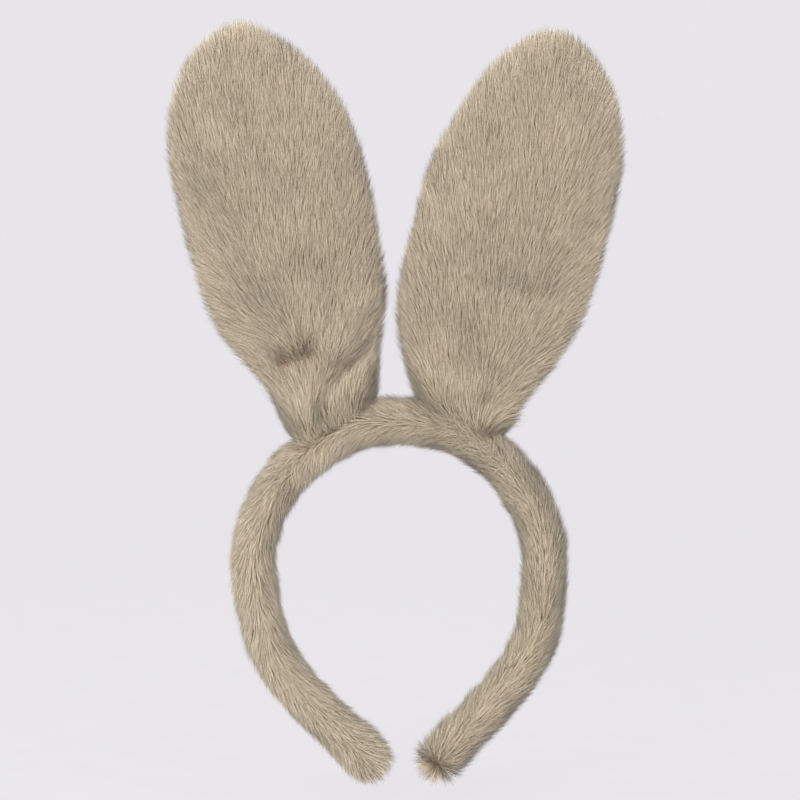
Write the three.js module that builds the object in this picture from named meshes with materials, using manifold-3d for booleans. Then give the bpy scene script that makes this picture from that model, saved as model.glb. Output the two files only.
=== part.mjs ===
// Plush rabbit ears headband: a springy C-shaped band in a sewn fur tube, with two soft ears on its crown.
// Millimetres. +Z points up as worn, -Y is the front, and +X is the right-hand side seen from the front.
// The origin is the middle of the crown's underside, where the band rests on a head.

import * as THREE from "three";
import { mergeVertices } from "three/addons/utils/BufferGeometryUtils.js";
import Module from "manifold-3d";

const wasm = await Module();
wasm.setup();

// ---- Driving dimensions ----

const GAP = 0.3; // between pieces that touch
const COVER = { depth: 18, width: 21, wall: 3 }; // band's fur tube: across the band, and along Y
const CORE = { depth: 2, width: 9 }; // springy plastic strip
const CROWN_RADIUS = 69; // band's centreline over the head
const CROWN_CENTRE_Z = COVER.depth / 2 - CROWN_RADIUS;
const SHOULDER = 64; // degrees from the top of the crown to each upper arm hinge
const SIDE_ANGLES = [77, 90]; // degrees where the arc goes on below the shoulder
const TIP_LENGTH = 6.5; // the closed fur end past the tube
const INNER_SETBACK = 3; // the core and the foam stop short of the tube's open end

// The band's centreline below the arc, from the lower arm hinge to the tip, as [x, z].
const LEFT_ARM = [
  [-64, -90.5],
  [-55, -109.5],
  [-38, -128.5],
  [-18, -148],
];
const RIGHT_ARM = [
  [66, -90.5],
  [56.5, -109.5],
  [41, -128.5],
  [23, -147.5],
];

const EAR = { halfThickness: 9, rim: 12, wall: 2.8, rootSlot: 1.6 };
const WIRE_RADIUS = 0.8;
const WIRE_INSET = 5; // from the ear's edge to the wire's middle
const FILLING_INSET = 8; // from the ear's edge to the stuffing's edge
const THREAD = 1.1;
const BINDING_HEIGHT = 12; // along the ear, from its root to the thread wound round it

// Heights along each ear where its width is given, and the half widths there on its two sides.
const STATIONS = [-8, 18, 36, 56, 84, 114, 140, 162, 180];
const EARS = {
  left: {
    root: [-33, 8.5],
    lean: -12.7,
    outward: -1,
    outer: [15, 22, 30.5, 39.3, 44, 45.3, 44.2, 37.5, 25.5],
    inner: [15, 25, 31, 37.5, 40.5, 41, 37.5, 28.5, 14],
    tip: [-3, 190],
  },
  right: {
    root: [36, 8.5],
    lean: 11.5,
    outward: 1,
    outer: [15, 21.5, 29, 36.3, 41, 42.5, 40, 32.5, 17],
    inner: [15, 32, 41, 45.5, 45, 43, 35, 25, 10],
    tip: [3, 185],
  },
};

// Joints: the height of each ear's two crosswise axes, and half the V that is open at each joint, in degrees.
const FOLD = { height: 43, opening: 37 };
const BEND = { height: 115, opening: 37 };
const SHOULDER_OPENING = 7;
const ELBOW_OPENING = 6;
const NECK = 0.4; // half the gap at a joint's own axis
const REACH = 300; // longer than any piece, for the tools that cut

const FINISHES = {
  fur: { color: "#aea08c", roughness: 0.95 },
  foam: { color: "#e6e2d6", roughness: 0.9 },
  filling: { color: "#f2f0ea", roughness: 1 },
  plastic: { color: "#d9d6cf", roughness: 0.45 },
  steel: { color: "#9a9c9e", roughness: 0.35, metalness: 0.9 },
  thread: { color: "#a08f76", roughness: 0.8 },
};

// ---- Solids ----

const radians = THREE.MathUtils.degToRad;
const vector = (x, y, z) => new THREE.Vector3(x, y, z);
const headband = new THREE.Group();

function solidOf(geometry) {
  geometry.deleteAttribute("normal");
  geometry.deleteAttribute("uv");
  const merged = mergeVertices(geometry, 1e-4);
  return new wasm.Manifold(
    new wasm.Mesh({
      numProp: 3,
      vertProperties: merged.attributes.position.array,
      triVerts: new Uint32Array(merged.index.array),
    }),
  );
}

function addPart(name, solid, finish) {
  const { vertProperties, triVerts } = solid.getMesh();
  const geometry = new THREE.BufferGeometry();
  geometry.setAttribute("position", new THREE.BufferAttribute(vertProperties, 3));
  geometry.setIndex(new THREE.BufferAttribute(triVerts, 1));
  const mesh = new THREE.Mesh(geometry, new THREE.MeshStandardMaterial(FINISHES[finish]));
  mesh.name = name;
  headband.add(mesh);
}

// A flat outline, [[x, y], ...], made into a prism and laid in the frame of the three given axes.
function prism(outline, length, axisX, axisY, axisZ, origin) {
  const shape = new THREE.Shape(outline.map(([x, y]) => new THREE.Vector2(x, y)));
  const geometry = new THREE.ExtrudeGeometry(shape, { depth: length, bevelEnabled: false });
  geometry.translate(0, 0, -length / 2);
  geometry.applyMatrix4(new THREE.Matrix4().makeBasis(axisX, axisY, axisZ).setPosition(origin));
  return solidOf(geometry);
}

// ---- Band ----

const onArc = (degrees) =>
  vector(
    CROWN_RADIUS * Math.sin(radians(degrees)),
    0,
    CROWN_CENTRE_Z + CROWN_RADIUS * Math.cos(radians(degrees)),
  );

const armPoints = (arm) => arm.map(([x, z]) => vector(x, 0, z));
const crownAngles = [-1, -0.75, -0.5, -0.25, 0, 0.25, 0.5, 0.75, 1].map((part) => part * SHOULDER);
const bandPoints = [
  ...armPoints(LEFT_ARM).reverse(),
  ...SIDE_ANGLES.toReversed().map((angle) => onArc(-angle)),
  ...crownAngles.map(onArc),
  ...SIDE_ANGLES.map(onArc),
  ...armPoints(RIGHT_ARM),
];
const bandCurve = new THREE.CatmullRomCurve3(bandPoints, false, "centripetal");

// The band's five lengths between its hinges: first and last point of the centreline, and steps along it.
const LENGTHS = {
  left_lower_arm: { from: 0, to: 3, steps: 9 },
  left_upper_arm: { from: 3, to: 6, steps: 7 },
  crown: { from: 6, to: 14, steps: 17 },
  right_upper_arm: { from: 14, to: 17, steps: 7 },
  right_lower_arm: { from: 17, to: 20, steps: 9 },
};

class Stretch extends THREE.Curve {
  constructor(from, to) {
    super();
    this.from = from / (bandPoints.length - 1);
    this.to = to / (bandPoints.length - 1);
  }

  getPoint(t) {
    return bandCurve.getPoint(THREE.MathUtils.lerp(this.from, this.to, t));
  }
}

// Outlines of the band's layers, with x along the part's Y and y across the band.
function ovalOutline(width, depth, sides) {
  const shape = new THREE.Shape();
  for (let i = 0; i < sides; i++) {
    const angle = ((i + 0.5) / sides) * 2 * Math.PI;
    const [x, y] = [(Math.cos(angle) * width) / 2, (Math.sin(angle) * depth) / 2];
    if (i === 0) shape.moveTo(x, y);
    else shape.lineTo(x, y);
  }
  return shape.closePath();
}

function slotOutline(width, depth) {
  const shape = new THREE.Shape();
  shape.moveTo(-width / 2, -depth / 2);
  shape.lineTo(width / 2, -depth / 2);
  shape.lineTo(width / 2, depth / 2);
  shape.lineTo(-width / 2, depth / 2);
  return shape.closePath();
}

function sweep(outline, hole, stretch, steps) {
  if (hole) outline.holes.push(hole);
  return solidOf(new THREE.ExtrudeGeometry(outline, { steps, extrudePath: stretch }));
}

// A V opening on each side of a hinge across the band.
function hingeCut(pointIndex, opening) {
  const u = pointIndex / (bandPoints.length - 1);
  const along = bandCurve.getTangent(u);
  const across = vector(-along.z, 0, along.x);
  const spread = NECK + COVER.depth * Math.tan(radians(opening));
  const outline = [
    [-NECK, 0],
    [-spread, -COVER.depth],
    [spread, -COVER.depth],
    [NECK, 0],
    [spread, COVER.depth],
    [-spread, COVER.depth],
  ];
  return prism(outline, REACH, along, across, vector(0, -1, 0), bandCurve.getPoint(u));
}

const hingeCuts = [
  hingeCut(LENGTHS.left_lower_arm.to, ELBOW_OPENING),
  hingeCut(LENGTHS.left_upper_arm.to, SHOULDER_OPENING),
  hingeCut(LENGTHS.crown.to, SHOULDER_OPENING),
  hingeCut(LENGTHS.right_upper_arm.to, ELBOW_OPENING),
].reduce((all, cut) => all.add(cut));

const cavity = { width: COVER.width - 2 * COVER.wall, depth: COVER.depth - 2 * COVER.wall };
const foam = { width: cavity.width - 2 * GAP, depth: cavity.depth - 2 * GAP };

// How far the core and the foam stop short of an open end, as a share of one interval of the centreline.
const SETBACK = INNER_SETBACK / bandPoints[0].distanceTo(bandPoints[1]);

for (const [name, { from, to, steps }] of Object.entries(LENGTHS)) {
  const whole = new Stretch(from, to);
  const inside = new Stretch(
    from === 0 ? from + SETBACK : from,
    to === bandPoints.length - 1 ? to - SETBACK : to,
  );
  const cover = sweep(
    ovalOutline(COVER.width, COVER.depth, 14),
    ovalOutline(cavity.width, cavity.depth, 12),
    whole,
    steps,
  );
  const sleeve = sweep(
    ovalOutline(foam.width, foam.depth, 12),
    slotOutline(CORE.width + 2 * GAP, CORE.depth + 2 * GAP),
    inside,
    steps,
  );
  const core = sweep(slotOutline(CORE.width, CORE.depth), null, inside, steps);
  addPart(`${name}_cover`, cover.subtract(hingeCuts), "fur");
  addPart(`${name}_foam`, sleeve.subtract(hingeCuts), "foam");
  addPart(`${name}_core`, core.subtract(hingeCuts), "plastic");
}

// The tube's gathered ends, each a dome with a turn of draw thread on its top.
for (const [side, end] of [
  ["left", 0],
  ["right", 1],
]) {
  const outward = bandCurve.getTangent(end).multiplyScalar(end === 0 ? -1 : 1);
  const turn = new THREE.Quaternion().setFromUnitVectors(vector(0, 0, 1), outward);
  const origin = bandCurve.getPoint(end);
  const profile = [new THREE.Vector2(0, 0)];
  for (const degrees of [0, 22.5, 45, 67.5, 90]) {
    const angle = radians(degrees);
    profile.push(new THREE.Vector2(Math.cos(angle), Math.sin(angle)));
  }
  profile[profile.length - 1].x = 0;
  const dome = new THREE.LatheGeometry(profile, 14);
  dome.rotateX(Math.PI / 2);
  dome.scale(COVER.depth / 2, COVER.width / 2, TIP_LENGTH);
  dome.translate(0, 0, GAP);
  const knot = new THREE.TorusGeometry(2.2, THREAD / 2, 6, 12);
  knot.translate(0, 0, TIP_LENGTH + 2 * GAP + THREAD / 2);
  for (const geometry of [dome, knot]) {
    geometry.applyQuaternion(turn);
    geometry.translate(origin.x, origin.y, origin.z);
  }
  addPart(`${side}_tip_gather`, solidOf(dome), "fur");
  addPart(`${side}_tip_draw_thread`, solidOf(knot), "thread");
}

// ---- Ears ----

// The ear's edge in its own plane, moved inwards, from the outer corner of its root over the tip to the
// inner corner.
function earEdge(ear, inset, steps) {
  const side = (widths, outward) =>
    STATIONS.map((height, i) => new THREE.Vector2(outward * widths[i], height));
  const edge = new THREE.SplineCurve([
    ...side(ear.outer, ear.outward),
    new THREE.Vector2(...ear.tip),
    ...side(ear.inner, -ear.outward).reverse(),
  ]);
  return edge.getPoints(steps).map((point, i) => {
    const along = edge.getTangent(i / steps);
    const inwards = new THREE.Vector2(-along.y, along.x).multiplyScalar(ear.outward);
    return point.addScaledVector(inwards, inset);
  });
}

// Stands a geometry drawn in the ear's own plane up on the crown.
function standUp(geometry, ear) {
  geometry.rotateX(Math.PI / 2);
  geometry.rotateY(radians(ear.lean));
  geometry.translate(ear.root[0], 0, ear.root[1]);
  return geometry;
}

// The whole ear as a pillow with a round rim.
function earPillow(ear, inset, halfThickness, rim, steps) {
  const shape = new THREE.Shape(earEdge(ear, inset, steps));
  const geometry = new THREE.ExtrudeGeometry(shape, {
    depth: 0.2,
    bevelThickness: halfThickness - 0.1,
    bevelSize: rim,
    bevelOffset: -rim,
    bevelSegments: 3,
  });
  geometry.translate(0, 0, -0.1);
  return solidOf(standUp(geometry, ear));
}

// The part of space between two heights, with a V opening at a height that is a joint.
function zone(low, lowOpening, high, highOpening) {
  const half = 40;
  const lowV = half * Math.tan(radians(lowOpening));
  const highV = half * Math.tan(radians(highOpening));
  const outline = [
    [0, low + NECK],
    [half, low + NECK + lowV],
    [half, high - NECK - highV],
    [0, high - NECK],
    [-half, high - NECK - highV],
    [-half, low + NECK + lowV],
  ];
  return prism(outline, REACH, vector(0, 1, 0), vector(0, 0, 1), vector(1, 0, 0), vector(0, 0, 0));
}

const ZONES = {
  root: zone(-60, 0, FOLD.height, FOLD.opening),
  lower: zone(FOLD.height, FOLD.opening, BEND.height, BEND.opening),
  upper: zone(BEND.height, BEND.opening, 260, 0),
};

const halfSpace = (sign) => {
  const box = new THREE.BoxGeometry(REACH * 2, REACH, REACH * 2);
  box.translate(0, (sign * (REACH + GAP)) / 2, 0);
  return solidOf(box);
};
const SIDES = { front: halfSpace(-1), back: halfSpace(1) };

// The band's outside with its gap, which the ears' roots are shaped to.
const bandClearance = sweep(
  ovalOutline(COVER.width + 2 * GAP, COVER.depth + 2 * GAP, 14),
  null,
  new Stretch(LENGTHS.crown.from, LENGTHS.crown.to),
  LENGTHS.crown.steps,
);

// The rim wire: one hoop from the band, round the ear's edge and back to the band.
function rimWire(ear) {
  const section = new THREE.Shape().absarc(0, 0, WIRE_RADIUS, 0, 2 * Math.PI);
  const points = earEdge(ear, WIRE_INSET, 34).map(({ x, y }) => vector(x, y, 0));
  const path = new THREE.CatmullRomCurve3(points);
  const geometry = new THREE.ExtrudeGeometry(section, {
    steps: 44,
    curveSegments: 3,
    extrudePath: path,
  });
  return solidOf(standUp(geometry, ear)).subtract(bandClearance);
}

for (const [side, ear] of Object.entries(EARS)) {
  const outside = earPillow(ear, 0, EAR.halfThickness, EAR.rim, 34).subtract(bandClearance);
  const room = earPillow(
    ear,
    EAR.wall,
    EAR.halfThickness - EAR.wall,
    EAR.rim - EAR.wall,
    30,
  );
  const slot = earPillow(ear, EAR.wall, EAR.rootSlot, EAR.rootSlot, 30);
  const stuffing = earPillow(
    ear,
    FILLING_INSET,
    EAR.halfThickness - EAR.wall - GAP,
    EAR.rim - EAR.wall,
    24,
  );
  for (const [zoneName, space] of Object.entries(ZONES)) {
    const shell = outside.subtract(zoneName === "root" ? slot : room).intersect(space);
    for (const [face, half] of Object.entries(SIDES))
      addPart(`${side}_ear_${zoneName}_${face}`, shell.intersect(half), "fur");
    if (zoneName !== "root")
      addPart(`${side}_ear_${zoneName}_stuffing`, stuffing.intersect(space), "filling");
    const wires = rimWire(ear).intersect(space).decompose();
    if (wires.length === 1) addPart(`${side}_ear_${zoneName}_wire`, wires[0], "steel");
    else {
      const distance = (wire) => {
        const { min, max } = wire.boundingBox();
        return Math.abs(min[0] + max[0]);
      };
      wires.sort((a, b) => distance(a) - distance(b));
      addPart(`${side}_ear_${zoneName}_wire_inner`, wires[0], "steel");
      addPart(`${side}_ear_${zoneName}_wire_outer`, wires[1], "steel");
    }
  }
  const slice = new THREE.BoxGeometry(REACH, THREAD * 2, REACH);
  slice.translate(0, BINDING_HEIGHT, 0);
  const binding = earPillow(ear, -GAP - THREAD, EAR.halfThickness + GAP + THREAD, EAR.rim, 34)
    .subtract(earPillow(ear, -GAP, EAR.halfThickness + GAP, EAR.rim, 34))
    .intersect(solidOf(standUp(slice, ear)));
  addPart(`${side}_ear_binding_thread`, binding, "thread");
}

export default headband;
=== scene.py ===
"""Looks of the plush rabbit ears headband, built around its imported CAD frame.

Metres. +Z is up as worn, -Y is the front and +X is the right-hand side seen from the front.
The fabric is made first: a stuffed tube for the band and two stuffed ears. The pile, real tapered hairs,
is then grown on the fabric along the lie that it has on each part.
"""

import math
from itertools import product

import bpy
import numpy as np
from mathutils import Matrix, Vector
from mathutils.bvhtree import BVHTree
from mathutils.kdtree import KDTree


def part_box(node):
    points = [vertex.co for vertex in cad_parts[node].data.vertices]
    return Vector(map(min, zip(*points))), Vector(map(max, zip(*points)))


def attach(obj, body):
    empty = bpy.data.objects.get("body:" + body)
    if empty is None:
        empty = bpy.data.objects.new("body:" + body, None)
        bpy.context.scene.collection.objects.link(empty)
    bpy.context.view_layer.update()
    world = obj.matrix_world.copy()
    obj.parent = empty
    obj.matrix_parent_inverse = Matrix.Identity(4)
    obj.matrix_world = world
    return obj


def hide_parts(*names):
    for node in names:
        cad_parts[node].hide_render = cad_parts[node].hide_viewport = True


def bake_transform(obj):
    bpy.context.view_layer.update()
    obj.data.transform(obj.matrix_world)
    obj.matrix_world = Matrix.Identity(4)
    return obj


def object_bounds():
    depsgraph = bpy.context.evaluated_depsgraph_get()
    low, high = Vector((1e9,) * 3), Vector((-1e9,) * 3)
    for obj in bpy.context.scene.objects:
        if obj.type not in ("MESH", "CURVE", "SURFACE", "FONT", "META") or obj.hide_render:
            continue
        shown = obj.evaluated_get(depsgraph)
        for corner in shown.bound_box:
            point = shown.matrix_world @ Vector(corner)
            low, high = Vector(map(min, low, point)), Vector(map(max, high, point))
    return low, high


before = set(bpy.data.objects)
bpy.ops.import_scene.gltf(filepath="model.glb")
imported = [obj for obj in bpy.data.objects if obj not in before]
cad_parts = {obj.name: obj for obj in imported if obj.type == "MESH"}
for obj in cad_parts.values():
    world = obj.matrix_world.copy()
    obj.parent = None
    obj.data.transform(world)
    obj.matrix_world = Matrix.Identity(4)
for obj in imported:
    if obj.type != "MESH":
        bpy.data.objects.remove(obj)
cad_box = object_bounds()

MM = 0.001
rng = np.random.default_rng(20)

# ---- Band: sizes of its fabric, and its centreline ----

COVER_DEPTH = 18 * MM  # the CAD fur tube, across the band
CROWN_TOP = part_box("crown_cover")[1].z
CROWN_RADIUS = 69 * MM
CROWN_CENTRE = np.array([0, 0, CROWN_TOP - COVER_DEPTH / 2 - CROWN_RADIUS])
ARC_ANGLES = [-90, -77, -64, -48, -32, -16, 0, 16, 32, 48, 64, 77, 90]  # degrees from the crown's top
LEFT_ARM = [(-64, -90.5), (-55, -109.5), (-38, -128.5), (-18, -148)]  # mm, from the elbow to the tip
RIGHT_ARM = [(66, -90.5), (56.5, -109.5), (41, -128.5), (23, -147.5)]
TUBE_HALF_DEPTH = 6.6 * MM  # the fabric under the pile, across the band
TUBE_HALF_WIDTH = 8.3 * MM  # along Y
TIP_LENGTHS = (9.0 * MM, 10.2 * MM)  # past the last points of the left arm and the right one
TIP_DOME = 9 * MM
CORE_HALF_DEPTH = 1.3 * MM  # the slot in the foam that the core lies in
CORE_HALF_WIDTH = 4.8 * MM
BAND_LUMPS = 0.3 * MM
FABRIC_THICKNESS = 1.2 * MM
FOAM_SETBACK = 3.5 * MM  # from the round ends
TUBE_SIDES = 28
RING_STEP = 2.6 * MM
CROWN_END = 40  # degrees from the crown's top to where the shoulder pieces start

# ---- Ears ----

STATIONS = [-8, 18, 36, 56, 84, 114, 140, 162, 180]  # mm along each ear's own axis
EARS = {
    "left": {
        "root": (-33, 8.5),
        "lean": -12.7,
        "outward": -1,
        "outer": [15, 22, 30.5, 39.3, 44, 45.3, 44.2, 37.5, 25.5],
        "inner": [15, 25, 31, 37.5, 40.5, 41, 37.5, 28.5, 14],
        "tip": (-3, 190),
    },
    "right": {
        "root": (36, 8.5),
        "lean": 11.5,
        "outward": 1,
        "outer": [8, 20, 29.8, 37.3, 41, 42.5, 40, 32.5, 17],
        "inner": [15, 33.5, 42, 45.8, 45, 43, 35, 25, 10],
        "tip": (3, 185),
    },
}
EAR_COLUMNS = 20
EAR_ROW_STEP = 4.6 * MM
EDGE_INSET = 0.8 * MM  # from the CAD ear's edge to the fabric's
EAR_SLACK_HALF = 4.6 * MM  # half thickness before the padding swells
EAR_RIM = 15 * MM
TIP_ARC = 24 * MM  # an ear's sides turn into the arc over its tip this far below it
ARC_FADE = 60 * MM  # and the rings below take on the arc's shape over this height
ROOT_OFFSET = 1.5 * MM  # the ears' lower edges lie this far above the band's centreline
HEM_HALF = 8.2 * MM  # half thickness where the fabric is sewn to the band's
ROOT_HALF = 9.6 * MM  # and a little above
ROOT_RIM = 7 * MM
LEVEL_FROM = 40 * MM  # rings lie level above this height, and follow the band below it
FILLING_INSET = 9 * MM
FILLING_HALF = 4.2 * MM
FILLING_FROM = 46 * MM  # its lower end
SPLIT_HEIGHT = 78 * MM  # between an ear's lower and upper piece
SWELL_PRESSURE = 4
SWELL_FRAMES = 20
SWELL_CAP = 4.0 * MM  # how far a point may move
BINDING_HEIGHT = 12 * MM  # along the ear, from its root to the thread wound round it
THREAD_RADIUS = 0.45 * MM
THREAD_SIDES = 8

# ---- Pile ----

PILE = 8.8 * MM
HAIRS_PER_MM2 = 3.0
DOWN_PER_MM2 = 3.0
TUFTS_PER_MM2 = 1.5
ROOT_DEPTH = 0.3 * MM  # below the fabric's surface
HAIR_WIDTH = 0.23 * MM
DOWN_WIDTH = 0.25 * MM
DOWN_LENGTH = 0.70  # of the long hair's
ROOT_LAY = 44  # degrees that a hair rises from the fabric, up to its bend
END_LAY = 21  # and past it
GUARD_SHARE = 0.14  # of the hairs stand out from the rest
RISE_KEPT = 0.35  # of a flow that points out of the fabric
HAIR_ROUNDNESS = 0.6  # how far a hair's shading turns round it, against following the pile as a whole
ROUGHNESS_SIZES = (9 * MM, 14 * MM)  # of the patches where the pile turns and stands up a little
PATCH_SIZES = (22 * MM, 6 * MM)  # of the patches of a slightly different tone
STRAY_TURN = 9  # how many times further a wholly ruffled hair may turn
TONES = (0.45, 1.2)  # the darkest hair and the palest
HAIR_BEND = 0.42  # how far up a hair its bend is
NEAR_FABRIC = 12 * MM  # how far inside other fabric a root may lie
FAN_HEIGHTS = [0, 14, 30, 48, 75, 110, 150, 190]  # mm
# How far the hair leans out at each edge of an ear, in degrees by height, and how fast it gets there.
# Up to "hem_reach" mm above the band it leans by "hem" instead, which fades out along x over "hem_until".
FANS = {
    "left": {
        "left": [18, 24, 42, 70, 50, 28, 16, 6],
        "right": [2, 4, 12, 30, 14, 8, 6, 4],
        "power": [1.2, 1.1, 0.75, 0.55, 0.9, 1.1, 1.15, 1.15],
        "middle": -3,
        "hem": -50,
        "hem_reach": 9,
        "hem_until": (-38, -31),
    },
    "right": {
        "left": [20, 26, 30, 24, 14, 8, 6, 4],
        "right": [58, 60, 58, 54, 42, 34, 24, 8],
        "power": [1.6, 1.3, 1.1, 1.1, 1.1, 1.15, 1.15, 1.15],
        "middle": 2,
        "hem": -52,
        "hem_reach": 12,
        "hem_until": (40, 47),
    },
}


# ==== Small tools ====


def smoothstep(x, low, high):
    t = np.clip((np.asarray(x, float) - low) / (high - low), 0, 1)
    return t * t * (3 - 2 * t)


def bell(distance, radius):
    """1 at no distance, and close to 0 from twice the radius."""
    return np.exp(-((distance / radius) ** 2))


def unit(vectors):
    return vectors / np.maximum(np.linalg.norm(vectors, axis=-1, keepdims=True), 1e-12)


def catmull_rom(points, steps):
    """A smooth curve through the points, with this many steps between neighbours."""
    p = np.array(points, float)
    p = np.vstack([2 * p[0] - p[1], p, 2 * p[-1] - p[-2]])
    t = np.linspace(0, 1, steps, endpoint=False)[:, None]
    curve = []
    for a, b, c, d in zip(p[:-3], p[1:-2], p[2:-1], p[3:]):
        curve.append(
            0.5 * (2 * b + (c - a) * t + (2 * a - 5 * b + 4 * c - d) * t**2 + (3 * b - a - 3 * c + d) * t**3)
        )
    return np.vstack([*curve, p[-2:-1]])


def resample(curve, step):
    """The curve with even steps of about this length, and the distance along it."""
    lengths = np.concatenate([[0], np.cumsum(np.linalg.norm(np.diff(curve, axis=0), axis=1))])
    along = np.linspace(0, lengths[-1], max(2, round(lengths[-1] / step) + 1))
    return np.column_stack([np.interp(along, lengths, curve[:, i]) for i in range(curve.shape[1])]), along


def waves(points, scale, seed, count=12):
    """Smooth noise from about -1 to 1 whose features have the given size."""
    draw = np.random.default_rng(seed)
    directions = unit(draw.normal(size=(count, 3)))
    k = directions * draw.uniform(0.6, 1.5, (count, 1)) * math.pi / scale
    return np.sin(points @ k.T + draw.uniform(0, 2 * math.pi, count)).sum(1) / math.sqrt(count)


def add_object(name, data):
    item = bpy.data.objects.new(name, data)
    bpy.context.scene.collection.objects.link(item)
    return item


def make_object(name, points, faces):
    """A smooth-shaded mesh object."""
    mesh = bpy.data.meshes.new(name)
    mesh.from_pydata([tuple(p) for p in points], [], [list(map(int, f)) for f in faces])
    mesh.validate()
    mesh.update()
    mesh.polygons.foreach_set("use_smooth", np.ones(len(mesh.polygons), bool))
    return add_object(name, mesh)


def ring_faces(ids):
    """Four-sided faces between neighbouring rings. ids has one row of point numbers per ring."""
    a, b = ids[:-1], ids[1:]
    quads = np.stack([a, np.roll(a, -1, 1), np.roll(b, -1, 1), b], axis=-1)
    return quads.reshape(-1, 4)


# ==== Materials ====


MIX_A, MIX_B, MIX_RESULT = 6, 7, 2  # the colour sockets of a mix node
HAIR_BROWN = (0.36, 0.215, 0.125, 1)


class Shader:
    """A new material with its principled shader, and short calls for the nodes that feed it."""

    def __init__(self, name):
        self.material = bpy.data.materials.new(name)
        self.material.use_nodes = True
        self.nodes = self.material.node_tree.nodes
        self.links = self.material.node_tree.links
        self.bsdf = self.nodes["Principled BSDF"]

    def node(self, kind, **values):
        node = self.nodes.new(kind)
        for key, value in values.items():
            if key in node.bl_rna.properties:
                setattr(node, key, value)
            else:
                node.inputs[key.replace("_", " ")].default_value = value
        return node

    def link(self, source, target):
        self.links.new(source, target)

    def set(self, **values):
        for key, value in values.items():
            self.bsdf.inputs[key.replace("_", " ")].default_value = value

    def attribute(self, name, output="Fac"):
        return self.node("ShaderNodeAttribute", attribute_name=name).outputs[output]

    def rest(self):
        """Where on the unposed piece a point lies."""
        return self.attribute("rest", "Vector")

    def ramp(self, factor, stops):
        ramp = self.node("ShaderNodeValToRGB")
        elements = ramp.color_ramp.elements
        while len(elements) < len(stops):
            elements.new(0.5)
        for element, (position, colour) in zip(elements, stops):
            element.position = position
            element.color = (*colour, 1)
        self.link(factor, ramp.inputs["Fac"])
        return ramp.outputs["Color"]

    def paint(self, factor, *stops):
        self.link(self.ramp(factor, stops), self.bsdf.inputs["Base Color"])

    def texture(self, kind, vector=None, output="Fac", **values):
        """A texture over the frame's coordinates, or over the vector."""
        texture = self.node(f"ShaderNodeTex{kind}", **values)
        if vector is None:
            vector = self.node("ShaderNodeTexCoord").outputs["Object"]
        self.link(vector, texture.inputs["Vector"])
        return texture.outputs[output]

    def bump(self, height, strength, distance):
        bump = self.node("ShaderNodeBump", Strength=strength, Distance=distance)
        self.link(height, bump.inputs["Height"])
        self.link(bump.outputs["Normal"], self.bsdf.inputs["Normal"])


def hair_material(name, *stops):
    """Hair: darker at its root, paler at its end, each with a tone of its own that on some parts also carries
    painted light and shade.
    """
    s = Shader(name)
    browner = s.node("ShaderNodeMix", data_type="RGBA")
    s.link(s.attribute("brown"), browner.inputs["Factor"])
    s.link(s.ramp(s.attribute("along"), stops), browner.inputs[MIX_A])
    browner.inputs[MIX_B].default_value = HAIR_BROWN
    shade = s.node("ShaderNodeHueSaturation", Hue=0.5, Saturation=1.0)
    s.link(s.attribute("tone"), shade.inputs["Value"])
    s.link(browner.outputs[MIX_RESULT], shade.inputs["Color"])
    s.link(shade.outputs["Color"], s.bsdf.inputs["Base Color"])
    s.set(Roughness=0.6, Specular_IOR_Level=0.2, Sheen_Weight=0.2, Sheen_Roughness=0.45)
    return s.material


def backing_material():
    """The knitted backing that the pile stands in."""
    s = Shader("plush_backing")
    patches = s.texture("Noise", s.rest(), Scale=220.0, Detail=4.0)
    s.paint(patches, (0.3, (0.340, 0.275, 0.190)), (0.7, (0.420, 0.345, 0.245)))
    s.bump(s.texture("Wave", s.rest(), Scale=900.0, Distortion=2.0, Detail=1.0), 0.5, 0.0003)
    s.set(Roughness=0.95, Specular_IOR_Level=0.1)
    return s.material


def foam_material():
    s = Shader("band_foam")
    cells = s.texture("Voronoi", s.rest(), "Distance", Scale=1400.0)
    s.paint(cells, (0.0, (0.62, 0.57, 0.46)), (0.6, (0.80, 0.76, 0.66)))
    s.bump(cells, 0.6, 0.0003)
    s.set(Roughness=0.9)
    return s.material


def filling_material():
    s = Shader("ear_filling")
    fibres = s.texture("Noise", s.rest(), Scale=700.0, Detail=6.0, Roughness=0.7)
    s.paint(fibres, (0.3, (0.78, 0.77, 0.73)), (0.7, (0.92, 0.91, 0.88)))
    s.bump(fibres, 0.8, 0.0006)
    s.set(Roughness=1.0)
    return s.material


def plastic_material():
    s = Shader("core_plastic")
    streaks = s.texture("Noise", Scale=60.0, Detail=5.0)
    s.paint(streaks, (0.3, (0.62, 0.60, 0.55)), (0.7, (0.72, 0.70, 0.66)))
    s.bump(s.texture("Noise", Scale=900.0, Detail=3.0), 0.15, 0.0001)
    s.set(Roughness=0.42)
    return s.material


def wire_material():
    s = Shader("rim_wire")
    scratches = s.texture("Noise", Scale=800.0, Detail=4.0)
    s.paint(scratches, (0.35, (0.30, 0.31, 0.32)), (0.65, (0.42, 0.43, 0.44)))
    roughness = s.node("ShaderNodeMapRange", To_Min=0.25, To_Max=0.45)
    s.link(scratches, roughness.inputs["Value"])
    s.link(roughness.outputs["Result"], s.bsdf.inputs["Roughness"])
    s.set(Metallic=1.0)
    return s.material


def thread_material():
    s = Shader("sewing_thread")
    twist = s.texture("Wave", bands_direction="DIAGONAL", Scale=700.0, Distortion=1.0)
    s.paint(twist, (0.0, (0.24, 0.185, 0.12)), (1.0, (0.40, 0.32, 0.22)))
    s.bump(twist, 0.6, 0.0003)
    s.set(Roughness=0.8, Sheen_Weight=0.2)
    return s.material


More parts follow.
